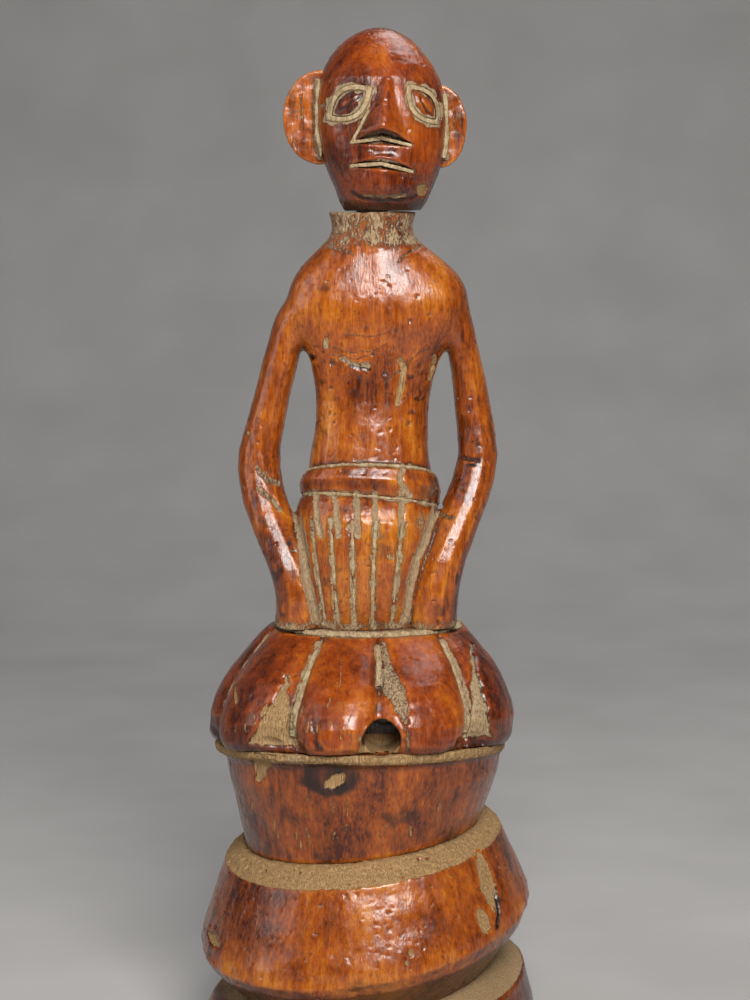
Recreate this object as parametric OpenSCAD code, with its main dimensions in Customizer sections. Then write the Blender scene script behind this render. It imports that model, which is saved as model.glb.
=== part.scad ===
// Carved wooden fertility doll on a stepped base.
// Frame: +Z up, the doll faces -Y, origin on the floor at the centre of the foot.
// Left and right are the doll's own, so its right side is at -X.

/* [Foot and ring] */
// Diameter of the foot where it stands
foot_d = 86; // [84:0.5:90]
// Height of the foot at its centre
foot_h = 19.5; // [17:0.5:22]
// Diameter of the ring at its lower edge
ring_d = 84; // [82:0.5:86]
// Height of the ring at its centre
ring_h = 36.5; // [34:0.5:40]

/* [Bowl and seat] */
// Diameter of the bowl where it stands on the ring
bowl_base_d = 60; // [56:0.5:62]
// Height of the bowl at its centre
bowl_h = 23; // [21:0.5:26]
// Diameter of the seat across its lobes
seat_d = 78; // [75:0.5:81]
// Height of the seat at its centre
seat_h = 30.5; // [28:0.5:33]
// How far each lobe stands out from the valley beside it
lobe_rise = 4.2; // [3:0.1:5]
// Diameter of the hole in the front of the seat
hole_d = 8.8; // [8:0.1:9.6]
// Depth of the hole in the front of the seat
hole_depth = 14; // [10:0.5:16]

/* [Torso] */
// Height of the torso from the seat to the top of the neck
torso_h = 102; // [98:0.5:106]
// Depth of the carved lines that hold the clay
line_depth = 0.8; // [0.6:0.1:1.2]
// Width of the carved pleat lines
pleat_w = 1; // [0.8:0.1:1.6]

/* [Head] */
// Height of the head above the neck
head_h = 44.2; // [42:0.2:46]
// Thickness of the ears
ear_t = 5; // [4:0.2:6]

/* [Joinery] */
// Diameter of the long dowel through the base
spindle_d = 12; // [10:0.5:13]
// How far the long dowel reaches into the torso
spindle_reach = 22; // [16:1:26]
// Diameter of the dowel on which the head turns
neck_dowel_d = 8; // [6:0.5:9]
// Depth of the neck dowel's hole in the neck, and in the head
neck_dowel_depth = 12; // [10:0.5:14]
// Radial clearance of each dowel in its hole
dowel_gap = 0.05; // [0.02:0.01:0.1]
// Gap between the head and the top of the neck
head_gap = 0.3; // [0.3:0.05:0.5]

/* [Hidden] */

// Heights of the seams, at the axis
ring_z = foot_h;
bowl_z = ring_z + ring_h;
seat_z = bowl_z + bowl_h;
hip_z = seat_z + seat_h;
neck_z = hip_z + torso_h;
head_z = neck_z + head_gap;

// Slopes of the seams: [front edge up, left side up], in degrees
ring_tilt = [-4, 7];
bowl_tilt = [-1, 7];
seat_tilt = [7, 0.5];

// Axis of the neck, on which the head turns
neck_x = 1.1;
neck_y = 0.5;

wood = "sienna";
dark_wood = "saddlebrown";
dowel_wood = "burlywood";
clay = "antiquewhite";
eps = 0.01;

// ---- Lofts -------------------------------------------------------------
// A section is [z, x, y, half width, front depth, back depth, squareness, front up, left up].
// Squareness 2 is an ellipse and 3 is a rounded square.

function sgn_pow(v, p) = sign(v) * pow(abs(v), p);

function section_point(s, a, grow) =
    let (
        e = 2 / s[6],
        dx = (s[3] + grow) * sgn_pow(cos(a), e),
        dy = (sin(a) < 0 ? s[4] + grow : s[5] + grow) * sgn_pow(sin(a), e)
    )
    [s[1] + dx, s[2] + dy, s[0] + dx * tan(s[8]) - dy * tan(s[7])];

function section_ring(s, n, grow) = [for (i = [0:n - 1]) section_point(s, 360 * i / n, grow)];

// A Catmull-Rom curve through the sections, with k steps from each to the next
function blend4(a, b, c, d, t) =
    0.5 * (2 * b + (c - a) * t + (2 * a - 5 * b + 4 * c - d) * t * t + (3 * b - a - 3 * c + d) * t * t * t);

function smooth(s, k) = [
    for (i = [0:len(s) - 2], j = [0:k - 1])
        blend4(s[max(i - 1, 0)], s[i], s[i + 1], s[min(i + 2, len(s) - 1)], j / k),
    s[len(s) - 1]
];

// The faces that close a ring of n points. A wide ring gets one large triangle in its middle, so that
// a bore through it crosses no edge.
function cap(n, first) =
    n < 12 ? [[for (i = [0:n - 1]) first + i]]
    : let (a = floor(n / 3), b = floor(2 * n / 3)) [
        [first, first + a, first + b],
        [for (i = [0:a]) first + i],
        [for (i = [a:b]) first + i],
        [for (i = [b:n]) first + i % n]
    ];

function reversed(list) = [for (i = [len(list) - 1:-1:0]) list[i]];

// A closed solid through rings of points, all with the same count, from the lowest to the highest.
// turned takes the other diagonal of each wall, so a filling matches the groove that it lies in.
module skin(rings, turned = false) {
    n = len(rings[0]);
    m = len(rings);
    walls = [
        for (j = [0:m - 2], i = [0:n - 1])
            let (a = j * n + i, b = j * n + (i + 1) % n)
            each (turned ? [[a, a + n, b + n], [a, b + n, b]] : [[a, a + n, b], [b, a + n, b + n]])
    ];
    base = cap(n, 0);
    top = [for (f = cap(n, (m - 1) * n)) reversed(f)];
    polyhedron(points = [for (r = rings) each r], faces = concat(walls, base, top), convexity = 8);
}

module loft(sections, n = 40, grow = 0) {
    skin([for (s = sections) section_ring(s, n, grow)]);
}

// A bar laid in a surface. A section is [centre, outward direction, half width, depth, height].
function bar_ring(s) =
    let (n = s[1], t = [-n[1], n[0], 0] * s[2])
    [s[0] - n * s[3] - t, s[0] + n * s[4] - t, s[0] + n * s[4] + t, s[0] - n * s[3] + t];

module bar(sections) {
    skin([for (s = sections) bar_ring(s)]);
}

// Merges what is inside it into one carved mesh, before any true bore is cut
module carved() {
    resize([0, 0, 0]) children();
}

// A vertical hole or dowel on an axis
module post(d, z0, z1, x = 0, y = 0) {
    translate([x, y, z0]) cylinder(d = d, h = z1 - z0, $fn = 64);
}

module spindle_hole(z0, z1) {
    post(spindle_d + 2 * dowel_gap, z0, z1);
}

// ---- Base --------------------------------------------------------------

module foot() {
    sections = [
        [0, 0, 0, foot_d / 2 - 1, foot_d / 2 - 1, foot_d / 2 - 1, 2, 0, 0],
        [1, 0, 0, foot_d / 2, foot_d / 2, foot_d / 2, 2, 0, 0],
        [foot_h * 0.35, 0, 0, foot_d / 2, foot_d / 2, foot_d / 2, 2, -1, 2],
        [foot_h - 3, 0, 0, foot_d / 2 - 3, foot_d / 2 - 3, foot_d / 2 - 3, 2, ring_tilt[0], ring_tilt[1]],
        [foot_h, 0, 0, ring_d / 2 - 9.5, ring_d / 2 - 9.5, ring_d / 2 - 9.5, 2, ring_tilt[0], ring_tilt[1]]
    ];
    color(dark_wood) difference() {
        loft(sections, 56);
        spindle_hole(-eps, foot_h + 10);
    }
}

module ring() {
    edge = ring_d / 2;
    waist = ring_d / 2 - 10;
    ledge = ring_d / 2 - 7;
    seat_r = bowl_base_d / 2;
    sections = [
        [ring_z, -0.5, 0, waist, waist, waist, 2, ring_tilt[0], ring_tilt[1]],
        [ring_z + ring_h * 0.3, -0.9, 0, edge - 1.5, edge - 1.5, edge - 1.5, 2, -7, 8],
        [ring_z + ring_h * 0.39, -0.9, 0, edge, edge, edge, 2, -7, 8.5],
        [ring_z + ring_h * 0.46, -0.9, 0, edge - 0.6, edge - 0.6, edge - 0.6, 2, -6, 8],
        [ring_z + ring_h * 0.72, -1.2, 0, edge - 4.2, edge - 4.2, edge - 4.2, 2, -4, 7.5],
        [bowl_z - 3, -1.4, 0, ledge, ledge, ledge, 2, -4, 7],
        [bowl_z, -1.2, 0, seat_r + 0.8, seat_r + 0.8, seat_r + 0.8, 2, bowl_tilt[0], bowl_tilt[1]]
    ];
    color(wood) difference() {
        loft(sections, 56);
        spindle_hole(ring_z - 10, bowl_z + 10);
    }
}

module bowl() {
    r0 = bowl_base_d / 2;
    side = seat_d / 2 - 4.4;
    lip = seat_d / 2 - 2.2;
    sections = [
        [bowl_z, -1.2, 0, r0 - 0.6, r0 - 0.6, r0 - 0.6, 2, bowl_tilt[0], bowl_tilt[1]],
        [bowl_z + 1, -1.2, 0, r0, r0, r0, 2, bowl_tilt[0], bowl_tilt[1]],
        [bowl_z + bowl_h * 0.35, -1.2, 0, r0 + 2, r0 + 2, r0 + 2, 2, 3, 3],
        [bowl_z + bowl_h * 0.65, -1.2, 0, r0 + 4, r0 + 4, r0 + 4, 2, 5, 1],
        [seat_z - 3.6, -1.2, 0, side, side, side, 2, seat_tilt[0], seat_tilt[1]],
        [seat_z - 1.9, -2, 0, lip - 0.3, lip - 0.3, lip - 0.3, 2, seat_tilt[0], seat_tilt[1]],
        [seat_z, -2, 0, lip, lip, lip, 2, seat_tilt[0], seat_tilt[1]]
    ];
    color(wood) difference() {
        loft(sections, 56);
        spindle_hole(bowl_z - 10, seat_z + 10);
        front_hole();
    }
}

// ---- Seat --------------------------------------------------------------

// The valleys between the lobes, in degrees round from the front towards the doll's left
valleys = [-78, -28, 6.5, 47, 95, 142, 188, 235, 282];
front_valley = 2;
lobe_steps = 8;
seat_x = -2;
hip_half_w = 23.4;
hip_half_d = 17.5;
hip_ledge = 1.1;
hip_ledge_t = 1 - hip_ledge / seat_h;

// How far out the seat's envelope is at a share of its height: 1 at the widest and 0 at the hip
function seat_out(t) = 1 - pow(max(t - 0.2, 0) / 0.8, 1.6);

// How far a lobe stands out of the envelope. u is 0 on its crest and 1 in the valley.
function seat_swell(t, u) =
    let (w = 1 - 0.42 * pow(max(0, 1 - t / 0.3), 2), v = min(abs(u) / w, 1))
    lobe_rise * pow(1 - pow(v, 3), 0.8) * (1 - 0.75 * pow(t, 3)) * (t == 0 ? 0.8 : 1);

function seat_point(t, a, more) =
    let (
        base_r = seat_d / 2 - lobe_rise,
        rx = hip_half_w - 0.8 + (base_r - hip_half_w + 0.8) * seat_out(t),
        ry = hip_half_d - 0.8 + (base_r - hip_half_d + 0.8) * seat_out(t),
        dx = (rx + more) * sin(a),
        dy = -(ry + more) * cos(a),
        lean = 1 - t
    )
    [
        seat_x * lean + dx,
        dy,
        seat_z + seat_h * t + lean * (dx * tan(seat_tilt[1]) - dy * tan(seat_tilt[0]))
    ];

// The four corners of the groove down a valley at one height: edge, floor, floor, edge
function groove_turn(t) = 1.6 - 0.3 * t;

// No groove is cut in the front valley round the hole, up to this share of the seat's height
hole_clear_t = 0.5;

function groove_points(t, a) =
    let (
        d = groove_turn(t),
        edge = seat_swell(t, 1 - d / 22.5),
        cut = a != valleys[front_valley] || t > hole_clear_t,
        b = cut ? d : d / 3,
        low = cut ? -line_depth : edge - 0.2
    )
    [
        seat_point(t, a - d, edge),
        seat_point(t, a - b, low),
        seat_point(t, a + b, low),
        seat_point(t, a + d, edge)
    ];

function seat_ring(t) = [
    for (i = [0:len(valleys) - 2]) each concat(
        groove_points(t, valleys[i]),
        [
            for (k = [1:lobe_steps - 1])
                seat_point(
                    t,
                    valleys[i] + (valleys[i + 1] - valleys[i]) * k / lobe_steps,
                    seat_swell(t, 2 * k / lobe_steps - 1)
                )
        ]
    )
];

// A ring round the top of the seat, inside the ledge that holds the clay
function hip_point(a, z) = [(hip_half_w - 1.6) * sin(a), -(hip_half_d - 1.6) * cos(a), z];

function hip_ring(z) = [
    for (i = [0:len(valleys) - 2]) each concat(
        [for (d = [-1.5, -0.5, 0.5, 1.5]) hip_point(valleys[i] + d, z)],
        [for (k = [1:lobe_steps - 1]) hip_point(valleys[i] + (valleys[i + 1] - valleys[i]) * k / lobe_steps, z)]
    )
];

hole_x = 3.4;
hole_y = -seat_d / 2;
hole_z = seat_z + (seat_d / 2 - 4) * tan(seat_tilt[0]) + hole_d / 2 - 0.4;

module front_hole() {
    translate([hole_x, hole_y - 4, hole_z])
        rotate([-90, 0, 0])
            cylinder(d = hole_d, h = hole_depth + 4 + 2, $fn = 48);
}

module seat() {
    rings = concat(
        [for (t = [0, 0.06, 0.14, 0.24, 0.36, 0.48, 0.6, 0.72, 0.82, 0.9]) seat_ring(t)],
        [seat_ring(hip_ledge_t), hip_ring(hip_z - hip_ledge), hip_ring(hip_z)]
    );
    color(wood) difference() {
        skin(rings);
        spindle_hole(seat_z - 10, hip_z + 10);
        front_hole();
    }
}

module hip_clay() {
    outer = [
        [hip_z - hip_ledge, 0, 0, hip_half_w - 0.2, hip_half_d - 0.2, hip_half_d - 0.2, 2, 0, 0],
        [hip_z - 0.02, 0, 0, hip_half_w - 0.8, hip_half_d - 0.8, hip_half_d - 0.8, 2, 0, 0]
    ];
    color(clay) carved() difference() {
        loft(outer, 48);
        translate([0, 0, hip_z - 5])
            linear_extrude(10)
                polygon([for (a = [0:7.5:359]) [(hip_half_w - 1.5) * cos(a), (hip_half_d - 1.5) * sin(a)]]);
    }
}

module seat_clay() {
    color(clay) for (i = [0:len(valleys) - 2]) {
        heights = i == front_valley ? [0.6, 0.72, 0.82, 0.9] : [0.14, 0.24, 0.36, 0.48, 0.6, 0.72, 0.82, 0.9];
        skin([
            for (t = heights)
                let (g = groove_points(t, valleys[i]))
                [g[1], g[0], g[3], g[2]]
        ], turned = true);
    }
}

// ---- Torso -------------------------------------------------------------

// Heights on the torso are shares of its height, from the hip to the top of the neck
function tz(t) = hip_z + torso_h * t;

trunk = [
    [tz(0.30), 0.8, 0, 16.2, 13, 13, 2.3, 0, 0],
    [tz(0.40), 0.4, 0, 14.9, 11.6, 11.2, 2.3, 0, 0],
    [tz(0.47), 0.8, 0, 14.2, 10.6, 10, 2.2, 0, 0],
    [tz(0.55), 1.2, 0, 14.1, 9.6, 9.6, 2.3, 0, 0],
    [tz(0.64), 1.6, 0.3, 16.0, 10.2, 10.4, 2.5, 0, 0],
    [tz(0.70), 2, 0.5, 19.6, 11, 11.2, 2.6, 0, 0],
    [tz(0.78), 2.4, 0.7, 22.8, 12, 11.6, 2.5, 0, 0],
    [tz(0.85), 2.2, 0.9, 20.4, 11, 10.6, 2.3, 0, 0],
    [tz(0.905), 1.5, 0.8, 14.4, 9.6, 9.6, 2.1, 0, 0],
    [tz(0.94), neck_x, neck_y, 10.7, 9.4, 9.4, 2, 0, 0],
    [tz(0.97), neck_x, neck_y, 10.1, 9.4, 9.4, 2, 0, 0],
    [tz(1), neck_x, neck_y, 10.8, 10, 10, 2, 0, 0]
];

waistband = [
    [tz(0.295), 0.5, 0, 17.2, 15, 14, 2.4, 12, -5],
    [tz(0.33), 0.5, 0, 17.7, 15.2, 14.4, 2.4, 15, -3],
    [tz(0.365), 0.6, 0, 16.6, 13.6, 13.2, 2.3, 17, -1]
];

skirt = [
    [tz(0), -1.4, 0, 15.5, 15, 14.5, 2.2, 0, 0],
    [tz(0.07), -1.2, 0, 16.6, 17.6, 17, 2.2, 2, 0],
    [tz(0.16), -0.9, 0, 17.8, 19, 18.6, 2.2, 5, -2],
    [tz(0.24), -0.2, 0, 18.4, 18.4, 17.6, 2.3, 9, -4],
    [tz(0.297), 0.4, 0, 17, 14.8, 13.8, 2.4, 12, -5]
];

// Each arm runs from the shoulder down to the elbow, and in to the hand beside the skirt
right_arm = [
    [tz(0), -17.4, -4.2, 5.9, 9.4, 9, 2.6, 0, 0],
    [tz(0.07), -17.1, -5, 6, 9.6, 8.6, 2.5, 0, 0],
    [tz(0.15), -18.9, -5.4, 6.2, 8.4, 7.6, 2.3, 0, 0],
    [tz(0.25), -23.6, -3.4, 5.9, 6.8, 6.6, 2.1, 0, 0],
    [tz(0.34), -26.6, -0.6, 5.5, 6, 6.2, 2, 0, 0],
    [tz(0.42), -27.0, 1, 5.3, 5.8, 6, 2, 0, 0],
    [tz(0.55), -23.9, 1.2, 4.6, 5.6, 5.6, 2, 0, 0],
    [tz(0.67), -20.8, 1, 4.6, 6, 6, 2, 0, 0],
    [tz(0.76), -17.6, 0.8, 5, 6.6, 6.6, 2, 0, 0],
    [tz(0.82), -12.4, 0.8, 5, 6.4, 6.4, 2, 0, 0]
];

left_arm = [
    [tz(0), 15.9, -4.2, 6.3, 9.4, 9, 2.6, 0, 0],
    [tz(0.07), 16.1, -5, 6.5, 9.6, 8.6, 2.5, 0, 0],
    [tz(0.17), 18.6, -5.4, 6, 8.2, 7.6, 2.3, 0, 0],
    [tz(0.30), 24.3, -3, 5.6, 6.6, 6.6, 2.1, 0, 0],
    [tz(0.41), 27.3, 0, 5, 5.8, 6, 2, 0, 0],
    [tz(0.55), 25.8, 1.2, 4.5, 5.6, 5.6, 2, 0, 0],
    [tz(0.67), 23.6, 1, 4, 6, 6, 2, 0, 0],
    [tz(0.76), 20.6, 0.8, 5, 6.6, 6.6, 2, 0, 0],
    [tz(0.82), 17.4, 0.8, 5, 6.4, 6.4, 2, 0, 0]
];

module arms() {
    loft(smooth(right_arm, 2), 14);
    loft(smooth(left_arm, 2), 14);
}

module torso_form() {
    loft(smooth(trunk, 2), 24);
    loft(waistband, 28);
    loft(smooth(skirt, 2), 30);
    arms();
}

// Each pleat line: [angle at the waist, angle at the hip], round from the front towards the doll's left
front_pleats = [[-45, -33], [-26, -20], [-9, -5], [5, 8], [26, 26]];
back_pleats = [for (a = [110:20:250]) [a, a]];
skirt_path = smooth(skirt, 2);

// The skirt's section between two of its rings
function skirt_at(j) =
    let (i = min(floor(j), len(skirt_path) - 2))
    skirt_path[i] + (skirt_path[i + 1] - skirt_path[i]) * (j - i);

module pleat_bars(out) {
    for (p = concat(front_pleats, back_pleats)) {
        middle = (p[0] + p[1]) / 2;
        bar([
            for (j = [0.25, 1, 2, 3, 4, 5, 6.1])
                let (a = p[1] + (p[0] - p[1]) * j / 6.1)
                [
                    section_point(skirt_at(j), a - 90, 0),
                    [sin(middle), -cos(middle), 0],
                    pleat_w / 2,
                    line_depth,
                    out
                ]
        ]);
    }
}

// The two lines round the waist: a ring in the surface of the waistband at a height on it
module waist_ring(at, low, high, out) {
    s = waistband[at];
    function level(h) = [s[0] + h, s[1], s[2], s[3], s[4], s[5], s[6], s[7], s[8]];
    difference() {
        loft([level(low), level(high)], 28, out);
        loft([level(low - 2), level(high + 2)], 28, -line_depth);
    }
}

module torso() {
    color(wood) difference() {
        carved() difference() {
            torso_form();
            pleat_bars(3);
            waist_ring(0, -0.5, 0.5, 1.6);
            waist_ring(2, -0.9, 1, 2);
        }
        spindle_hole(hip_z - 1, hip_z + spindle_reach + 0.5);
        post(neck_dowel_d + 2 * dowel_gap, neck_z - neck_dowel_depth, neck_z + 1, neck_x, neck_y);
    }
}

module skirt_clay() {
    color(clay) pleat_bars(-0.15);
}

module waistband_clay() {
    color(clay) {
        waist_ring(0, -0.5, 0.5, -0.15);
        waist_ring(2, -0.9, -0.1, -0.15);
    }
}

// ---- Head --------------------------------------------------------------

function hz(t) = head_z + head_h * t;

skull = [
    [hz(0), 3.7, 0.5, 9.4, 10, 9, 2.1, 0, 0],
    [hz(0.055), 3.8, 0.5, 10.9, 13.2, 11, 2.1, 0, 0],
    [hz(0.14), 3.9, 0.3, 12.4, 15.4, 13.6, 2.1, 0, 0],
    [hz(0.26), 3.8, 0, 14.6, 16.2, 15.6, 2.2, 0, 0],
    [hz(0.42), 3.5, 0, 15.9, 15.8, 16.8, 2.3, 0, 0],
    [hz(0.58), 3.2, 0, 15.9, 15.6, 17, 2.2, 0, 0],
    [hz(0.72), 2.9, 0.4, 14.8, 14.6, 15.6, 2.1, 0, 0],
    [hz(0.84), 2.6, 0.8, 12.0, 12, 12.6, 2, 0, 0],
    [hz(0.935), 2.6, 1, 8.0, 8, 8.2, 2, 0, 0],
    [hz(0.985), 2.7, 1, 4, 4.2, 4.2, 2, 0, 0],
    [hz(1), 2.8, 1, 1.5, 1.6, 1.6, 2, 0, 0]
];

module nose() {
    hull() {
        translate([4.6, -13.9, hz(0.68)]) sphere(r = 1.4, $fn = 16);
        translate([-1.9, -13.4, hz(0.405)]) sphere(r = 1.8, $fn = 16);
        translate([8.6, -13.4, hz(0.395)]) sphere(r = 1.8, $fn = 16);
        translate([3.6, -18.4, hz(0.45)]) sphere(r = 1.6, $fn = 16);
    }
}

module muzzle() {
    hull() {
        for (x = [0, 7.6]) {
            translate([x, -11.4, hz(0.29)]) sphere(r = 4, $fn = 20);
            translate([x, -10.6, hz(0.15)]) sphere(r = 4, $fn = 20);
        }
        translate([3.8, -13.4, hz(0.24)]) sphere(r = 4, $fn = 20);
        translate([3.8, -13, hz(0.15)]) sphere(r = 4, $fn = 20);
    }
}

module head_form() {
    loft(smooth(skull, 2), 32);
    nose();
    muzzle();
}

// A bent line in the front view, through points given as [x, z], pressed straight back
module stroke(points, w) {
    rotate([90, 0, 0]) linear_extrude(40)
        for (i = [0:len(points) - 2])
            let (a = points[i], b = points[i + 1], d = (b - a) / norm(b - a) * w / 2, n = [-d[1], d[0]])
            polygon([a - d - n, b + d - n, b + d + n, a - d + n]);
}

// A stroke that stops at an upright cylinder inside the face
module face_bar(points, w, x, y, r) {
    difference() {
        stroke(points, w);
        translate([x, y, head_z - 5]) cylinder(r = r, h = head_h + 10, $fn = 48);
    }
}

// An almond-shaped ring in the front view, pressed straight back
module almond(centre, length, height, slope, w) {
    translate([centre[0], 0, centre[1]]) rotate([90, 0, 0]) rotate([0, 0, slope]) linear_extrude(40)
        difference() {
            polygon(almond_outline(length / 2, height / 2));
            polygon(almond_outline(length / 2 - 1.6 * w, height / 2 - w));
        }
}

function almond_outline(a, b) = concat(
    [for (i = [0:11]) let (u = -1 + i / 6) [a * u, -b * (1 - u * u)]],
    [for (i = [0:11]) let (u = 1 - i / 6) [a * u, b * (1 - u * u)]]
);

module eye_line(side, out) {
    intersection() {
        if (side < 0) almond([-4.6, hz(0.575)], 13.6, 8, 34, 1.1);
        else almond([13.5, hz(0.57)], 12.4, 7, -50, 1);
        difference() {
            loft(smooth(skull, 2), 32, out);
            loft(smooth(skull, 2), 32, -line_depth);
        }
    }
}

nose_path = [[0.1, hz(0.53)], [-3.9, hz(0.365)], [3.4, hz(0.385)], [10.3, hz(0.35)]];
mouth_path = [[-4, hz(0.24)], [3.2, hz(0.25)], [10.6, hz(0.21)]];

module nose_bar() {
    face_bar(nose_path, 0.8, 4, -4, 11);
}

module mouth_bar() {
    face_bar(mouth_path, 0.9, 3.7, -4.3, 11);
}

// Each ear is a flat plate let into the side of the head, with its front face this far forward
ear_front = 1.5;

module ear_plate(x, z, half_w, half_h) {
    translate([x, ear_t - ear_front, z])
        rotate([90, 0, 0])
            linear_extrude(ear_t)
                polygon([for (a = [0:10:359]) [half_w * cos(a), half_h * sin(a)]]);
}

module right_ear_plate() {
    ear_plate(-11.6, hz(0.51), 9.2, 11.4);
}

module left_ear_plate() {
    ear_plate(17.6, hz(0.46), 6.6, 10);
}

// Clay packed into the corner in front of each ear
module ear_seam(points) {
    difference() {
        intersection() {
            loft(smooth(skull, 2), 32, 0.9);
            stroke(points, 1.3);
        }
        loft(smooth(skull, 2), 32, -0.6);
        translate([-40, -ear_front, 0]) cube([80, 40, 300]);
        translate([-40, -ear_front - 43, 0]) cube([80, 40, 300]);
    }
}

module ear_seams() {
    ear_seam([[-12.3, hz(0.70)], [-12.2, hz(0.30)]]);
    ear_seam([[18.9, hz(0.62)], [18.9, hz(0.30)]]);
}

module head() {
    color(wood) difference() {
        carved() difference() {
            head_form();
            eye_line(-1, 2);
            eye_line(1, 2);
            nose_bar();
            mouth_bar();
            ear_seams();
            right_ear_plate();
            left_ear_plate();
        }
        post(neck_dowel_d + 2 * dowel_gap, head_z - 1, head_z + neck_dowel_depth, neck_x, neck_y);
    }
}

module ear_right() {
    color(wood) right_ear_plate();
}

module ear_left() {
    color(wood) left_ear_plate();
}

module eye_clay(side) {
    color(clay) carved() eye_line(side, -0.12);
}

module nose_clay() {
    color(clay) carved() intersection() {
        nose_bar();
        translate([0, 0.12, 0]) head_form();
    }
}

module mouth_clay() {
    color(clay) carved() intersection() {
        mouth_bar();
        translate([0, 0.12, 0]) head_form();
    }
}

module ear_seam_clay() {
    color(clay) carved() ear_seams();
}

// ---- Dowels ------------------------------------------------------------

module spindle() {
    color(dowel_wood) post(spindle_d, 0.5, hip_z + spindle_reach);
}

module neck_dowel() {
    color(dowel_wood)
        post(neck_dowel_d, neck_z - neck_dowel_depth + 0.2, head_z + neck_dowel_depth - 0.3, neck_x, neck_y);
}

foot();
ring();
bowl();
seat();
torso();
spindle();
neck_dowel();
head();
ear_right();
ear_left();
eye_clay(-1);  // eye_clay_right
eye_clay(1);  // eye_clay_left
nose_clay();
mouth_clay();
ear_seam_clay();
waistband_clay();
skirt_clay();
hip_clay();
seat_clay();
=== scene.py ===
import math

import bpy
import numpy as np
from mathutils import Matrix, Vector
from mathutils.kdtree import KDTree


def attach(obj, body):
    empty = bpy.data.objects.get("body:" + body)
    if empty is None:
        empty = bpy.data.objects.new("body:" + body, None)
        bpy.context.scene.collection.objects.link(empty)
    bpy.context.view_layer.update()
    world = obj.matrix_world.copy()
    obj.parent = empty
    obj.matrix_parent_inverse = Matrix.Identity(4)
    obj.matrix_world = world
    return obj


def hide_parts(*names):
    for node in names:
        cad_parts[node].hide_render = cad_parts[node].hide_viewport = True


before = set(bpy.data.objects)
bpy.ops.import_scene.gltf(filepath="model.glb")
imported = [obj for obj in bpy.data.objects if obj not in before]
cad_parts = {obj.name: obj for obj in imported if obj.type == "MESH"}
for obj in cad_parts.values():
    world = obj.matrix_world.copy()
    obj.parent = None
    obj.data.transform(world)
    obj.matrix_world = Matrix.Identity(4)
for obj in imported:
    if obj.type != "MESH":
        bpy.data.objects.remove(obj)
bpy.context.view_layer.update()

# Lengths inside this script's mesh work are in millimetres
MM = 1000.0
# The hole in the front of the seat: its middle in the front view, and its radius
HOLE_X, HOLE_Z, HOLE_R = 3.4, 87.3, 4.4
# The axis of the neck dowel, and how far round each dowel's axis the wood is left as it is
NECK_AXIS = (1.1, 0.5)
NECK_DOWEL_CLEAR = 5
SPINDLE_CLEAR = 7
# Masks that a piece's sculpting paints and its material reads
MASKS = ("clay", "raw", "dark", "worn", "red_and_side_shade")


# ---- Noise ---------------------------------------------------------------

def lattice(seed):
    """A shuffled index and random directions for noise."""
    rng = np.random.default_rng(seed)
    g = rng.normal(size=(256, 3))
    g /= np.linalg.norm(g, axis=1)[:, None]
    return rng.permutation(256), g


def noise(p, size, seed, stretch=(1, 1, 1)):
    """Smooth noise from about -1 to 1, with features of that size in mm."""
    perm, grad = lattice(seed)
    q = p / (np.array(stretch, float) * size)
    base = np.floor(q).astype(int)
    f = q - base
    w = f * f * f * (f * (f * 6 - 15) + 10)
    total = np.zeros(len(p))
    for dx in (0, 1):
        for dy in (0, 1):
            for dz in (0, 1):
                i = perm[(base[:, 0] + dx) & 255]
                i = perm[(i + base[:, 1] + dy) & 255]
                i = perm[(i + base[:, 2] + dz) & 255]
                corner = (grad[i] * (f - (dx, dy, dz))).sum(1)
                wx = w[:, 0] if dx else 1 - w[:, 0]
                wy = w[:, 1] if dy else 1 - w[:, 1]
                wz = w[:, 2] if dz else 1 - w[:, 2]
                total += corner * wx * wy * wz
    return total * 1.6


def fbm(p, size, seed, stretch=(1, 1, 1), octaves=3):
    """Noise with finer octaves added."""
    return sum(noise(p, size / 2 ** k, seed + k, stretch) / 2 ** k for k in range(octaves))


def ramp(x, a, b):
    """0 at a, 1 at b, smooth between."""
    t = np.clip((x - a) / (b - a), 0, 1)
    return t * t * (3 - 2 * t)


# ---- Meshes --------------------------------------------------------------

def points_of(me):
    """A mesh's points, in the mesh's own metres."""
    co = np.empty(len(me.vertices) * 3)
    me.vertices.foreach_get("co", co)
    return co.reshape(-1, 3)


def mesh_of(node, voxel):
    """A voxel remesh of a CAD node, with voxels that many mm wide."""
    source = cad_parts[node].data
    me = bpy.data.meshes.new("work")
    me.from_pydata(points_of(source), [], [list(p.vertices) for p in source.polygons])
    ob = bpy.data.objects.new("work", me)
    bpy.context.scene.collection.objects.link(ob)
    mod = ob.modifiers.new("r", "REMESH")
    mod.mode = "VOXEL"
    mod.voxel_size = voxel / MM
    done = bpy.data.meshes.new_from_object(ob.evaluated_get(bpy.context.evaluated_depsgraph_get()))
    bpy.data.objects.remove(ob)
    bpy.data.meshes.remove(me)
    return done


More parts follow.
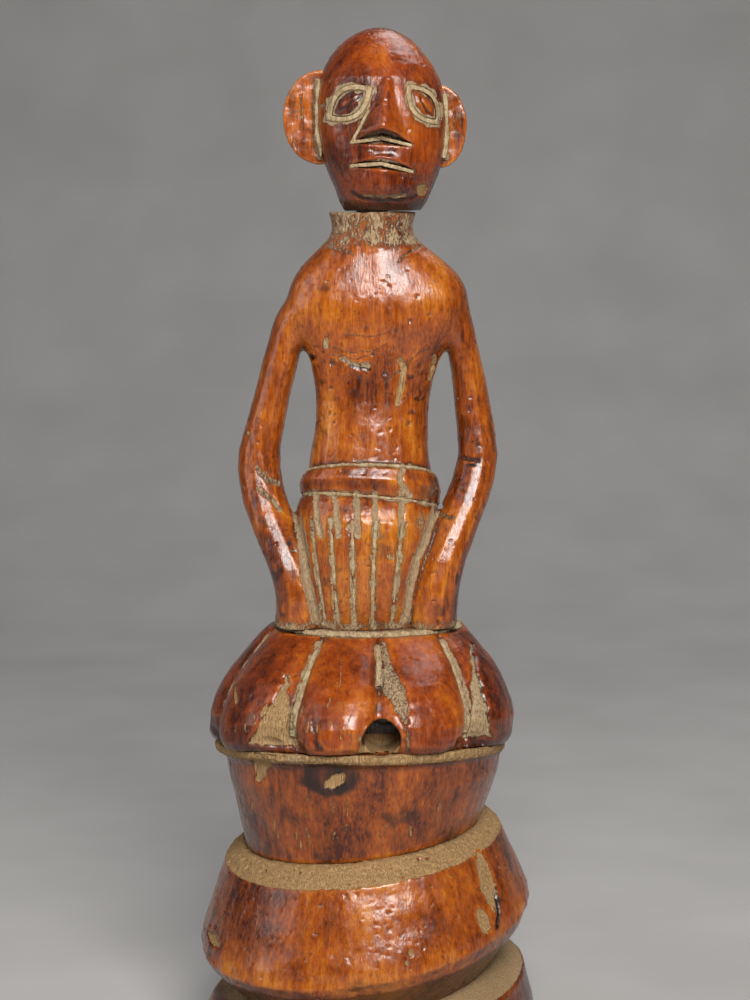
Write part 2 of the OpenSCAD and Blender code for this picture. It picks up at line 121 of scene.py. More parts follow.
class Sculpt:
    """A mesh with its points in mm, normals and painted masks."""

    def __init__(self, me):
        self.me = me
        n = len(me.vertices)
        self.co = points_of(me) * MM
        e = np.empty(len(me.edges) * 2, int)
        me.edges.foreach_get("vertices", e)
        self.edges = e.reshape(-1, 2)
        self.degree = np.bincount(self.edges.ravel(), minlength=n).astype(float)
        self.masks = {}
        self.drift = None
        self.update()

    def average(self, v):
        """The mean of each point's neighbours."""
        a, b = self.edges.T
        n = len(self.degree)
        out = np.empty_like(v)
        for k in range(v.shape[1]):
            out[:, k] = np.bincount(a, v[b, k], n) + np.bincount(b, v[a, k], n)
        return out / self.degree[:, None]

    def smooth(self, rounds, inward=0.5, outward=-0.52, weight=1.0):
        """Rounds of smoothing, each with a step out again so that the shape keeps its size."""
        for _ in range(rounds):
            for k in (inward, outward):
                self.co += k * (self.average(self.co) - self.co) * np.asarray(weight).reshape(-1, 1)
        self.update()

    def update(self):
        """Writes the points to the mesh and reads the normals back."""
        self.me.vertices.foreach_set("co", (self.co / MM).ravel())
        self.me.update()
        no = np.empty(len(self.co) * 3)
        self.me.vertex_normals.foreach_get("vector", no)
        self.no = no.reshape(-1, 3)

    def wobble(self):
        """Slow drifts that make a knife line or a patch edge uneven."""
        if self.drift is None:
            self.drift = [noise(self.co, size, 301 + i) for i, size in enumerate((3, 3, 2.5, 2, 1.2))]
        return self.drift

    def push(self, amount):
        """Moves each point out by amount mm along its normal."""
        self.co += np.asarray(amount)[:, None] * self.no

    def paint(self, name, value):
        """Raises a mask to a value, where it is lower."""
        old = self.masks.get(name, np.zeros(len(self.co)))
        self.masks[name] = np.maximum(old, np.clip(value, 0, 1))

    def hollow(self, rounds):
        """How deep each point lies below its surroundings, in mm."""
        v = self.co.copy()
        for _ in range(rounds):
            v = self.average(v)
        return ((v - self.co) * self.no).sum(1)

    def finish(self, name):
        """An object with the sculpted mesh and its masks as attributes."""
        self.update()
        me = self.me
        me.name = name
        for key in MASKS:
            layer = me.attributes.new(key, "FLOAT", "POINT")
            value = self.masks.get(key, np.zeros(len(self.co)))
            layer.data.foreach_set("value", value.astype(np.float32))
        me.shade_smooth()
        me.materials.clear()
        ob = bpy.data.objects.new(name, me)
        bpy.context.scene.collection.objects.link(ob)
        return ob


def along(q, points):
    """Distance of 2-D points to a polyline, and how far along it, from 0 to 1."""
    best = np.full(len(q), 1e9)
    at = np.zeros(len(q))
    pts = np.array(points, float)
    lengths = np.linalg.norm(np.diff(pts, axis=0), axis=1)
    run = np.concatenate([[0], np.cumsum(lengths)])
    for i, (a, b) in enumerate(zip(pts[:-1], pts[1:])):
        d = b - a
        t = np.clip(((q - a) @ d) / (d @ d), 0, 1)
        r = np.linalg.norm(q - a - t[:, None] * d, axis=1)
        near = r < best
        best[near] = r[near]
        at[near] = ((run[i] + t * lengths[i]) / run[-1])[near]
    return best, at


def front(s):
    """Each point's place in the front view."""
    return s.co[:, [0, 2]]


def cut(s, points, width, depth, clay=0.0, raw=0.0, dark=0.0, taper=True):
    """A knife cut along a line in the front view, on the side that faces the front."""
    q = front(s) + 0.35 * np.column_stack(s.wobble()[:2])
    d, t = along(q, points)
    end = np.sqrt(np.clip(1 - np.abs(2 * t - 1) ** 4, 0, 1)) if taper else 1.0
    facing = ramp(-s.no[:, 1], 0.1, 0.4) * ramp(-s.co[:, 1], -2, 1)
    shape = np.clip(1 - (d / (width / 2)) ** 2, 0, 1) * facing * end
    s.push(-depth * shape)
    soft = ramp(width * 0.8 - d, 0, width * 0.35) * facing
    s.paint("clay", soft * clay)
    s.paint("raw", soft * raw)
    s.paint("dark", soft * dark)


def wedge(s, points, depth, clay=0.0, raw=0.0, dark=0.0):
    """A scooped patch in the front view, through [height, middle, half width] from top to bottom."""
    z, x, w = np.array(points, float)[::-1].T
    h = s.co[:, 2] + 0.8 * s.wobble()[2]
    mid, half = np.interp(h, z, x), np.interp(h, z, w)
    inside = ramp(half - np.abs(s.co[:, 0] + 0.7 * s.wobble()[3] - mid), -0.4, 0.7)
    inside = inside * ramp(h, z[0] - 0.4, z[0] + 0.6) * ramp(-h, -z[-1] - 0.3, -z[-1] + 0.3)
    inside = inside * ramp(-s.no[:, 1], 0.05, 0.3)
    s.push(-depth * inside)
    s.paint("clay", inside * clay)
    s.paint("raw", inside * raw)
    s.paint("dark", inside * dark)


def chip(s, x, z, rx, rz, turn=0.0, depth=0.5, raw=1.0, clay=0.0, dark=0.0):
    """A small flake broken out of the front."""
    m = spot(s, x, z, rx, rz, turn) * ramp(-s.no[:, 1], 0.1, 0.4)
    edge = ramp(m + 0.18 * s.wobble()[4], 0.08, 0.3)
    s.push(-depth * edge)
    s.paint("raw", edge * raw)
    s.paint("clay", edge * clay)
    s.paint("dark", edge * dark)


def near_clay(s, nodes, reach, seed):
    """Clay smeared on the wood beside the clay that lies in its cuts."""
    points = []
    for node in nodes:
        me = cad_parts[node].data
        co = points_of(me) * MM
        for e in me.edges:
            a, b = co[e.vertices[0]], co[e.vertices[1]]
            steps = int(np.linalg.norm(b - a) / 0.8) + 1
            points += [a + (b - a) * k / steps for k in range(steps + 1)]
    tree = KDTree(len(points))
    for i, p in enumerate(points):
        tree.insert(p, i)
    tree.balance()
    d = np.array([tree.find(p)[2] for p in s.co])
    width = reach * (0.75 + 0.9 * noise(s.co, 2.6, seed))
    s.paint("clay", 0.95 * ramp(width - d, -0.25, 0.35))
    s.paint("dark", 0.4 * ramp(reach + 0.7 - d, 0, 0.6))


def scatter(s, count, seed, box, length, width, depth, raw=0.7, slope=8):
    """Short knife ticks along the grain, inside a box of the front view."""
    rng = np.random.default_rng(seed)
    for _ in range(count):
        x, z = rng.uniform(box[0], box[1]), rng.uniform(box[2], box[3])
        h = rng.uniform(0.4, 1.0) * length / 2
        t = math.radians(rng.uniform(-slope, slope))
        line = [(x - h * math.sin(t), z - h * math.cos(t)), (x + h * math.sin(t), z + h * math.cos(t))]
        cut(s, line, width, depth * rng.uniform(0.2, 0.5), raw=raw * rng.uniform(0.5, 1))


def spot(s, x, z, rx, rz, turn=0.0):
    """1 at a point in the front view, falling to 0 at an ellipse round it."""
    a = math.radians(turn)
    dx, dz = s.co[:, 0] - x, s.co[:, 2] - z
    u = (dx * math.cos(a) + dz * math.sin(a)) / rx
    v = (-dx * math.sin(a) + dz * math.cos(a)) / rz
    return ramp(1 - np.sqrt(u * u + v * v), 0, 1)


def tool_marks(s, depth, size, seed, stretch=(1, 1, 1)):
    """Shallow facets left by a knife, softened by wear."""
    rng = np.random.default_rng(seed)
    st = np.array(stretch, float) * size
    q = s.co / st
    base = np.floor(q).astype(int)
    best = np.full(len(q), 1e9)
    offsets = rng.random((4096, 3))
    for dx in (-1, 0, 1):
        for dy in (-1, 0, 1):
            for dz in (-1, 0, 1):
                c = base + (dx, dy, dz)
                h = (c[:, 0] * 73 + c[:, 1] * 179 + c[:, 2] * 283) & 4095
                r = np.linalg.norm(c + offsets[h] - q, axis=1)
                best = np.minimum(best, r)
    s.push(-depth * (1 - ramp(best, 0, 0.75)))


def grime(s, size, seed, start=0.5, full=0.95, amount=0.6, where=1.0):
    """Dark patches about size mm wide."""
    s.paint("dark", amount * ramp(fbm(s.co, size, seed), start, full) * where)


def crevice_masks(s, clay=0.35, dark=0.8, rounds=12):
    """Dirt and clay in the hollows, and wear on the edges."""
    h = s.hollow(rounds)
    spread = noise(s.co, 3.5, 71) * 0.5 + 0.6
    s.paint("dark", ramp(h, 0.02, 0.22) * dark)
    s.paint("clay", ramp(h, 0.10, 0.30) * clay * spread * 1.6)
    s.paint("worn", ramp(-h, 0.03, 0.18))


# ---- Materials -----------------------------------------------------------

class Graph:
    """Short names for building a material's nodes."""

    def __init__(self, name):
        self.mat = bpy.data.materials.new(name)
        self.mat.use_nodes = True
        self.tree = self.mat.node_tree
        self.tree.nodes.clear()

    def node(self, kind, **settings):
        n = self.tree.nodes.new(kind)
        for k, v in settings.items():
            setattr(n, k, v)
        return n

    def feed(self, socket, value):
        if isinstance(value, bpy.types.NodeSocket):
            self.tree.links.new(value, socket)
        elif value is not None:
            socket.default_value = value

    def point(self, scale):
        """Object position in mm, divided by scale."""
        tc = self.node("ShaderNodeTexCoord")
        m = self.node("ShaderNodeVectorMath", operation="MULTIPLY")
        self.feed(m.inputs[0], tc.outputs["Object"])
        self.feed(m.inputs[1], tuple(MM / v for v in scale))
        return m.outputs[0]

    def bend(self, vector, amount, size):
        n = self.node("ShaderNodeTexNoise")
        self.feed(n.inputs["Vector"], self.point((size, size, size * 3)))
        self.feed(n.inputs["Detail"], 1.0)
        sub = self.node("ShaderNodeVectorMath", operation="SUBTRACT")
        self.feed(sub.inputs[0], n.outputs["Color"])
        self.feed(sub.inputs[1], (0.5, 0.5, 0.5))
        mul = self.node("ShaderNodeVectorMath", operation="SCALE")
        self.feed(mul.inputs[0], sub.outputs[0])
        self.feed(mul.inputs["Scale"], amount)
        add = self.node("ShaderNodeVectorMath", operation="ADD")
        self.feed(add.inputs[0], vector)
        self.feed(add.inputs[1], mul.outputs[0])
        return add.outputs[0]

    def noise(self, scale, detail=2.0, rough=0.5, bend=None):
        v = self.point(scale)
        if bend:
            v = self.bend(v, *bend)
        n = self.node("ShaderNodeTexNoise")
        self.feed(n.inputs["Vector"], v)
        self.feed(n.inputs["Scale"], 1.0)
        self.feed(n.inputs["Detail"], detail)
        self.feed(n.inputs["Roughness"], rough)
        return n.outputs["Fac"]

    def math(self, op, a, b=None, c=None, clamp=False):
        n = self.node("ShaderNodeMath", operation=op, use_clamp=clamp)
        self.feed(n.inputs[0], a)
        self.feed(n.inputs[1], b)
        self.feed(n.inputs[2], c)
        return n.outputs[0]

    def span(self, x, a, b, lo=0.0, hi=1.0):
        n = self.node("ShaderNodeMapRange", interpolation_type="SMOOTHSTEP")
        for k, v in zip(("Value", "From Min", "From Max", "To Min", "To Max"), (x, a, b, lo, hi)):
            self.feed(n.inputs[k], v)
        return n.outputs[0]

    def colours(self, x, stops):
        n = self.node("ShaderNodeValToRGB")
        bar = n.color_ramp
        while len(bar.elements) < len(stops):
            bar.elements.new(0.5)
        for e, (at, c) in zip(bar.elements, stops):
            e.position = at
            e.color = (*c, 1)
        self.feed(n.inputs[0], x)
        return n.outputs[0]

    def mix(self, f, a, b):
        n = self.node("ShaderNodeMix", data_type="RGBA", blend_type="MIX")
        self.feed(n.inputs[0], f)
        for i, v in ((6, a), (7, b)):
            if isinstance(v, tuple):
                v = (*v, 1) if len(v) == 3 else v
            self.feed(n.inputs[i], v)
        return n.outputs[2]

    def mask(self, name):
        return self.node("ShaderNodeAttribute", attribute_name=name).outputs["Fac"]

    def bump(self, height, distance, below=None):
        n = self.node("ShaderNodeBump")
        self.feed(n.inputs["Strength"], 1.0)
        self.feed(n.inputs["Distance"], distance / MM)
        self.feed(n.inputs["Height"], height)
        self.feed(n.inputs["Normal"], below)
        return n.outputs[0]

    def output(self, **sockets):
        bsdf = self.node("ShaderNodeBsdfPrincipled")
        for k, v in sockets.items():
            self.feed(bsdf.inputs[k.replace("_", " ")], v)
        out = self.node("ShaderNodeOutputMaterial")
        self.tree.links.new(bsdf.outputs[0], out.inputs[0])
        return self.mat


def grain_tone(g, patch, streaks):
    """From 0 for the darkest wood to 1 for the lightest."""
    broad = g.noise((11, 11, 20))
    bands = g.noise((1.5, 1.5, 40), 3.0, 0.6, bend=(0.7, 12))
    blot = g.noise((1.8, 1.8, 2.6), 4.0, 0.7)
    tone = g.math("MULTIPLY_ADD", g.math("SUBTRACT", broad, 0.5), 1.5, patch)
    for layer, weight in ((bands, 0.75), (streaks, 1.0), (blot, 0.8)):
        tone = g.math("MULTIPLY_ADD", g.math("SUBTRACT", layer, 0.5), weight, tone)
    tone = g.math("MULTIPLY_ADD", g.mask("worn"), 0.25, tone)
    # Redder wood, and painted shade on the left and right sides of the round pieces, darken the tone here.
    return g.math("MULTIPLY_ADD", g.mask("red_and_side_shade"), -0.26, tone, clamp=True)


def patina_and_shade(g):
    """How much dark, soaked-in dirt and painted shade lies on the wood."""
    soot = g.span(g.noise((1.5, 1.5, 2.6), 4.0, 0.7), 0.56, 0.74, 0.0, 0.6)
    dark = g.math("MULTIPLY", g.mask("dark"), g.span(g.noise((3, 3, 6), 3.0), 0.25, 0.6, 0.7, 1.0))
    return g.math("MAXIMUM", dark, soot)


def bare_wood(g, fibres):
    """Where splintered wood shows, and its colour."""
    bare = g.math("MULTIPLY_ADD", g.math("SUBTRACT", fibres, 0.5), 0.8, g.mask("raw"))
    colour = g.colours(fibres, [
        (0.3, (0.12, 0.055, 0.017)),
        (0.5, (0.36, 0.205, 0.078)),
        (0.72, (0.58, 0.40, 0.19)),
    ])
    return g.span(bare, 0.42, 0.56), colour


def clay_dust(g, grit):
    """Where pale clay is rubbed into the wood, and its colour."""
    pale = g.math("MULTIPLY_ADD", g.math("SUBTRACT", grit, 0.5), 1.5, g.mask("clay"))
    colour = g.colours(grit, [
        (0.28, (0.18, 0.10, 0.045)),
        (0.5, (0.38, 0.265, 0.145)),
        (0.72, (0.55, 0.45, 0.29)),
    ])
    return g.span(pale, 0.40, 0.66), colour


def polished_wood(name, deep, mid, light, patch=0.5, gloss=0.2):
    """Oiled wood between three colours, with patina and painted shade, bare places and rubbed-in clay."""
    g = Graph(name)
    streaks = g.noise((0.30, 0.30, 6), 3.0, 0.65, bend=(0.8, 8))
    fine = g.noise((0.12, 0.12, 1.9), 2.0, 0.6)
    fibres = g.noise((0.26, 0.26, 4.0), 3.0, 0.7)
    grit = g.noise((0.4, 0.4, 1.1), 4.0, 0.7)
    pores = g.span(fine, 0.38, 0.28)
    specks = g.span(g.noise((0.35, 0.35, 1.5), 1.0), 0.75, 0.79)
    colour = g.colours(grain_tone(g, patch, streaks), [(0.0, deep), (0.5, mid), (1.0, light)])
    colour = g.mix(g.math("MULTIPLY", pores, 0.8), colour, (0.020, 0.004, 0.001))
    colour = g.mix(g.math("MULTIPLY", specks, 0.6), colour, (0.42, 0.24, 0.09))
    # Dirt and painted shade from the dark mask darken the colour here.
    colour = g.mix(patina_and_shade(g), colour, (0.016, 0.0035, 0.0012))
    bare, bare_colour = bare_wood(g, fibres)
    colour = g.mix(bare, colour, bare_colour)
    pale, pale_colour = clay_dust(g, grit)
    colour = g.mix(g.math("MULTIPLY", pale, 0.9), colour, pale_colour)
    # Bare wood and clay are dull, and polished wood has a coat
    dull = g.math("MAXIMUM", bare, pale)
    rough = g.span(g.noise((1.4, 1.4, 5), 3.0), 0.3, 0.7, gloss - 0.03, gloss + 0.13)
    rough = g.math("MULTIPLY_ADD", dull, 0.55, rough, clamp=True)
    rough = g.math("MULTIPLY_ADD", g.mask("dark"), 0.10, rough, clamp=True)
    coat = g.math("MULTIPLY_ADD", dull, -0.32, 0.32, clamp=True)
    n = g.bump(g.math("MULTIPLY_ADD", pores, -0.8, g.math("MULTIPLY", streaks, 0.9)), 0.06)
    n = g.bump(g.noise((0.5, 0.5, 3.6), 3.0), 0.05, n)
    n = g.bump(g.math("MULTIPLY", g.math("ADD", grit, fibres), dull), 0.3, n)
    return g.output(
        Base_Color=colour, Roughness=rough, Normal=n, IOR=1.5,
        Coat_Weight=coat, Coat_Roughness=0.09, Coat_Normal=n,
    )


def chalky_clay(name):
    """Dry clay, blotched pale and brown."""
    g = Graph(name)
    grit = g.noise((0.4, 0.4, 0.6), 5.0, 0.7)
    blot = g.noise((1.2, 1.2, 2.6), 3.0, 0.6)
    tone = g.math("MULTIPLY_ADD", g.math("SUBTRACT", blot, 0.5), 0.9, grit, clamp=True)
    colour = g.colours(tone, [
        (0.2, (0.13, 0.065, 0.028)),
        (0.42, (0.33, 0.22, 0.115)),
        (0.62, (0.46, 0.36, 0.21)),
        (0.85, (0.60, 0.50, 0.33)),
    ])
    n = g.bump(grit, 0.25)
    return g.output(Base_Color=colour, Roughness=0.88, Normal=n, IOR=1.45)


WOOD = polished_wood("wood", (0.055, 0.0065, 0.001), (0.33, 0.068, 0.0045), (0.57, 0.19, 0.013))
RED_WOOD = polished_wood("red_wood", (0.045, 0.0048, 0.001), (0.28, 0.046, 0.0032), (0.50, 0.135, 0.010))
DARK_WOOD = polished_wood(
    "dark_wood", (0.022, 0.003, 0.001), (0.11, 0.017, 0.002), (0.27, 0.062, 0.007), patch=0.4, gloss=0.26
)
PLAIN_WOOD = polished_wood(
    "plain_wood", (0.20, 0.10, 0.04), (0.42, 0.25, 0.11), (0.58, 0.40, 0.21), gloss=0.5
)
CLAY = chalky_clay("clay")


def place(s, name, node, body, material):
    """Puts a sculpted piece in the place of its CAD node, on a body."""
    ob = s.finish(name)
    ob.data.materials.append(material)
    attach(ob, body)
    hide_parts(node)


# ---- Wooden pieces -------------------------------------------------------

def radial(s, x=0.0, y=0.0):
    """Distance from an upright axis."""
    return np.hypot(s.co[:, 0] - x, s.co[:, 1] - y)


def rough_turned(name, voxel, seed, marks):
    """A round piece with knife facets of marks mm, left as it is near its axis."""
    s = Sculpt(mesh_of(name, voxel))
    s.smooth(8)
    outside = ramp(radial(s), 12, 18)
    before = s.co.copy()
    tool_marks(s, 0.10, marks, seed, (1, 1, 0.8))
    s.push(0.22 * fbm(s.co, 13, seed + 1, (1, 1, 0.7), 2) + 0.05 * fbm(s.co, 2.5, seed + 2))
    s.co = before + (s.co - before) * outside[:, None]
    s.update()
    return s


def build_foot():
    s = rough_turned("foot", 0.7, 11, 8)
    crevice_masks(s)
    flat = ramp(s.no[:, 2], 0.7, 0.92) * ramp(s.co[:, 2], 10, 14)
    s.paint("raw", flat * 0.7)
    s.paint("clay", flat * 0.5)
    s.paint("dark", ramp(s.co[:, 2], 6, 0) * 0.6)
    # The underside stays flat on the floor
    s.co[:, 2] = np.maximum(s.co[:, 2], 0.0)
    s.co[s.co[:, 2] < 0.5, 2] = 0.0
    place(s, "foot_wood", "foot", "body", DARK_WOOD)


def build_ring():
    s = rough_turned("ring", 0.45, 21, 9)
    # The knife left the lower edge wavy
    x, y, z = s.co.T
    edge_z = 33.7 + 0.15 * x + 0.123 * y
    edge = np.exp(-((z - edge_z) / 4) ** 2) * ramp(radial(s), 30, 38)
    s.push(edge * (0.5 * fbm(s.co, 11, 25) - 0.1))
    s.update()
    x, y, z = s.co.T
    # Two long flakes and a few nicks
    chip(s, 29.3, 48.5, 2.2, 9.4, 16, 0.7)
    chip(s, 28.2, 40.4, 1.8, 4.4, 22, 0.5)
    cut(s, [(31.4, 46), (32.2, 41), (31.6, 38)], 1.0, 0.5, dark=1.0)
    chip(s, 10.4, 36.0, 0.8, 1.2, 20, 0.3)
    chip(s, 9.4, 33.6, 0.7, 0.7, 0, 0.25)
    chip(s, -38.6, 31.5, 2.4, 1.6, 0, 0.5)
    scatter(s, 46, 26, (-36, 34, 30, 52), 2.4, 0.35, 0.12, 0.5, 14)
    for i in range(7):
        line = [(2.5 + i * 1.6, 31.0 + i * 0.15), (3.2 + i * 1.6, 33.6 + i * 0.2)]
        cut(s, line, 0.5, 0.14, clay=0.25)
    s.update()
    ledge = ramp(s.no[:, 2], 0.42, 0.62) * ramp(z, 44, 46.5)
    s.push(ledge * (0.3 * fbm(s.co, 1.3, 27) + 0.25 * noise(s.co, 0.6, 28, (6, 1, 1))))
    s.paint("raw", ledge * 0.85)
    s.paint("clay", ledge * 0.25)
    # Painted shade on the ring's downward-facing underside.
    under = ramp(-s.no[:, 2], 0.2, 0.6) * ramp(radial(s), 16, 22)
    s.paint("dark", under * 0.75)
    grime(s, 9, 29, amount=0.7, where=1 - ledge)
    # Painted side shade: darker towards the ring's left and right sides.
    s.paint("red_and_side_shade", 0.9 * ramp(np.abs(x - 1), 12, 30))
    crevice_masks(s, 0.3, 0.7)
    s.paint("worn", 0.9 * edge)
    place(s, "ring_wood", "ring", "body", WOOD)


def build_bowl():
    s = rough_turned("bowl", 0.42, 31, 8)
    x, y, z = s.co.T
    # The thin bare lip under the seat, and below it the polished rim
    drop = 79 + (x + 2) * math.tan(math.radians(0.5)) - y * math.tan(math.radians(7)) - z
    lip = ramp(2.9 - drop, 0, 0.6) * ramp(radial(s, -2), 34.2, 35.0)
    s.push(lip * (0.22 * fbm(s.co, 1.4, 34) - 0.1))
    s.paint("raw", lip * 0.85)
    s.paint("clay", lip * 0.3 * (noise(s.co, 6, 35) + 1))
    s.paint("dark", ramp(drop, 3.6, 2.9) * ramp(drop, 2.3, 2.9) * 0.8)
    # A dark knot with a flake out of it, and a splintered place beside it
    knot = spot(s, -9, 78.0, 9.5, 7, 5) * ramp(-y, 10, 20)
    s.paint("dark", ramp(knot + 0.12 * noise(s.co, 3, 36), 0.02, 0.22))
    s.push(-0.6 * knot)
    chip(s, -7.8, 76.4, 4.2, 1.9, 32, 0.5)
    chip(s, -20.4, 82.2, 1.6, 0.9, -20, 0.4)
    splinter = [(84.5, -24.6, 3.4), (80, -25.4, 2.8), (77, -26.2, 1.9), (73.5, -27.0, 0.6)]
    wedge(s, splinter, 0.5, raw=0.95, clay=0.3)
    wedge(s, [(83.5, -15.5, 0.5), (80.5, -15.8, 0.7), (79, -16, 0.2)], 0.3, raw=0.8)
    chip(s, -28.6, 66.5, 0.5, 2.0, 0, 0.3)
    scatter(s, 60, 37, (-26, 22, 59, 72), 3.6, 0.4, 0.16, 0.6, 9)
    for i in range(8):
        cut(s, [(3 + 1.1 * i, 60 + 0.3 * i), (8 + 1.2 * i, 75)], 0.45, 0.12, raw=0.15)
    s.update()
    grime(s, 7, 38, 0.4, 0.9, 0.7, 1 - lip)
    # Redder wood all round, with painted side shade darker towards the bowl's left and right sides.
    s.paint("red_and_side_shade", 0.55 + 0.45 * ramp(np.abs(x + 1), 10, 26))
    crevice_masks(s, 0.2, 0.7)
    place(s, "bowl_wood", "bowl", "body", WOOD)


def seat_wedges(s):
    """Bare wedges where the valleys open out above the seam."""
    right = [(100, -19.8, 0.6), (96, -20.4, 1.6), (91, -21.6, 3.8), (84, -22.8, 6.4)]
    left = [(105, 25.6, 0.7), (98, 26.4, 1.1), (92, 27.0, 2.3), (84, 26.6, 4.0)]
    middle = [(109, 3.6, 0.5), (103, 4.6, 1.5), (98, 6.2, 3.2), (94, 8.2, 2.2), (91, 9.2, 0.8)]
    wedge(s, right, 0.8, raw=0.85, clay=0.35)
    wedge(s, left, 0.6, raw=0.6, clay=0.65)
    wedge(s, middle, 0.45, raw=0.3, clay=0.66)


def build_seat():
    s = Sculpt(mesh_of("seat", 0.42))
    s.smooth(6)
    outside = ramp(radial(s), 12, 18)
    x, y, z = s.co.T
    mouth = np.hypot(x - HOLE_X, z - HOLE_Z)
    bore = (mouth < HOLE_R + 0.35) & (y < -20)
    before = s.co.copy()
    tool_marks(s, 0.34, 11, 41)
    s.push(0.2 * fbm(s.co, 10, 42, octaves=2) + 0.05 * fbm(s.co, 2.5, 48))
    s.co = before + (s.co - before) * (outside * np.where(bore, 0, 1))[:, None]
    s.update()
    seat_wedges(s)
    wedge(s, [(93, 9.0, 0.4), (88, 9.3, 0.9), (84, 9.5, 1.1)], 0.5, raw=0.5, clay=0.5)
    wedge(s, [(88.6, 2.4, 4.6), (85, 2.6, 4.9), (82, 2.6, 5.2)], 0.35, raw=0.9)
    wedge(s, [(92, -13.0, 0.3), (88, -12.6, 0.7), (84, -11.5, 1.6)], 0.5, dark=0.9)
    chip(s, -30.0, 104.5, 2.6, 1.1, 8, 0.3, raw=0.7)
    chip(s, -32.5, 94.0, 0.9, 2.4, 8, 0.3, raw=0.6)
    chip(s, -25.0, 92.5, 0.7, 2.8, -25, 0.3, raw=0.8)
    scatter(s, 40, 43, (-36, -4, 84, 106), 2.8, 0.4, 0.16, 0.65, 16)
    scatter(s, 26, 44, (8, 32, 86, 106), 2.2, 0.35, 0.12, 0.5, 25)
    s.update()
    x, y, z = s.co.T
    # Inside the hole the lower wall shows bare wood and the upper wall is painted dark as shade.
    inside = ramp(HOLE_R + 0.5 - mouth, 0, 0.4) * ramp(-y, 20, 22)
    low = ramp(HOLE_Z - 1.2 - z, 0, 1.0)
    s.masks["raw"] *= 1 - inside * (1 - low)
    s.paint("raw", inside * low * 0.9)
    s.paint("dark", inside * (1 - low))
    near_clay(s, ["seat_clay", "hip_clay"], 0.8, 45)
    s.paint("clay", 0.55 * ramp(z, 107.2, 109.2))
    # Painted shadow on the outer lobes, darker towards the seat's lower edge where it sits on the bowl.
    s.paint("dark", 0.8 * ramp(z, 86.5, 82) * ramp(radial(s), 30, 33))
    grime(s, 8, 46, 0.45)
    # Painted side shade: darker towards the seat's left and right sides.
    s.paint("red_and_side_shade", 0.9 * ramp(np.abs(x - 1), 12, 28))
    crevice_masks(s, 0.5, 0.9)
    place(s, "seat_wood", "seat", "body", RED_WOOD)


def carve_neck(s):
    """The neck, rubbed with clay, and its crease."""
    x, _, z = s.co.T
    neck = ramp(z, 201, 204.5) * ramp(13.5 - np.abs(x - 1), 0, 1)
    s.push(-0.25 * neck * ramp(fbm(s.co, 2.2, 53), 0.1, 0.6))
    s.paint("clay", neck * (0.58 + 0.25 * noise(s.co, 3, 54)))
    rng = np.random.default_rng(55)
    for _ in range(16):
        a, b = rng.uniform(-8, 10), rng.uniform(203, 210)
        cut(s, [(a, b), (a + rng.uniform(-3, 3), b + rng.uniform(-2, 2))], 0.4, 0.15, clay=0.5)
    cut(s, [(-10.5, 203.2), (-6, 202.2), (-3.5, 201.2)], 0.8, 0.3, clay=0.5)
    cut(s, [(13.5, 203.5), (10, 201.8), (7.5, 199.5)], 0.8, 0.3, clay=0.5)


def carve_chest(s, body):
    """Knife marks on the chest, and small dents down both sides of the body."""
    for line in (
        [(-10, 179.0), (-5, 177.4), (1, 177.6), (5, 180)], [(-9, 177.0), (-3, 175.9), (2, 177)],
        [(-6, 182.0), (0, 181.2), (6, 182.4)], [(3, 170), (9, 173.5), (14, 179)],
    ):
        cut(s, line, 0.5, 0.2, clay=0.42)
    cut(s, [(-6.2, 175.7), (-2.6, 174.5), (0.2, 174.3)], 1.1, 0.5, clay=0.7)
    cut(s, [(-4.6, 174.1), (0.4, 173.5)], 0.7, 0.5, dark=1.0)
    cut(s, [(8.0, 175.6), (8.8, 173.6), (8.3, 169.5), (7.3, 165.0)], 1.25, 0.6, raw=1.0)
    cut(s, [(7.9, 176.0), (8.8, 174.6)], 1.0, 0.6, dark=1.0)
    cut(s, [(16.4, 176.0), (15.6, 170.5)], 1.0, 0.5, raw=0.9)
    chip(s, -10.3, 179.6, 1.0, 2.3, -8, 0.35, raw=0.8, clay=0.6)
    chip(s, -14.8, 175.8, 2.2, 1.4, 0, 0.5, raw=0.0, dark=1.0)
    scatter(s, 34, 56, (-15, 17, 180, 198), 3.2, 0.3, 0.1, 0.3, 70)
    scatter(s, 20, 57, (-12, 14, 152, 168), 3.0, 0.35, 0.1, 0.35, 8)
    x, _, z = s.co.T
    flanks = ramp(np.abs(x - 1), 6.5, 10) * ramp(z, 156, 160) * ramp(-z, -181, -177)
    pits = ramp(noise(s.co, 1.5, 58), 0.32, 0.6) * flanks
    s.push(-0.28 * pits * body)
    s.paint("dark", 0.75 * pits * body)


def carve_skirt(s):
    """The belt, and the clay lines and chips of the skirt."""
    _, y, z = s.co.T
    belt = ramp(z, 138, 140) * ramp(-z, -151, -149) * ramp(-y, 3, 7)
    s.paint("red_and_side_shade", belt)
    s.paint("clay", 0.5 * spot(s, 15.5, 143.2, 8, 6) * ramp(-y, 2, 6))
    cut(s, [(8.6, 149.5), (7.6, 147.5), (9.4, 144.0), (10.4, 142.6)], 1.3, 0.4, clay=0.8)
    right_side = [
        (-19.2, 143.4), (-17.4, 136.5), (-15.9, 130.0), (-15.0, 122.0), (-13.9, 116.5), (-12.6, 112.0)
    ]
    cut(s, right_side, 2.1, 0.7, clay=0.92)
    cut(s, [(16.6, 138.6), (14.2, 132.0), (12.2, 127.6), (10.6, 122.0), (9.2, 112.0)], 1.9, 0.7, clay=0.85)
    s.paint("clay", 0.55 * spot(s, 13.4, 136.0, 5, 8, 20) * ramp(-y, 8, 12))
    chip(s, -8.6, 116.8, 0.6, 3.4, 0, 0.3)
    chip(s, 5.6, 128.2, 1.5, 0.7, -15, 0.25)
    chip(s, -4.6, 135.8, 0.9, 0.9, 0, 0.2, raw=0.8)


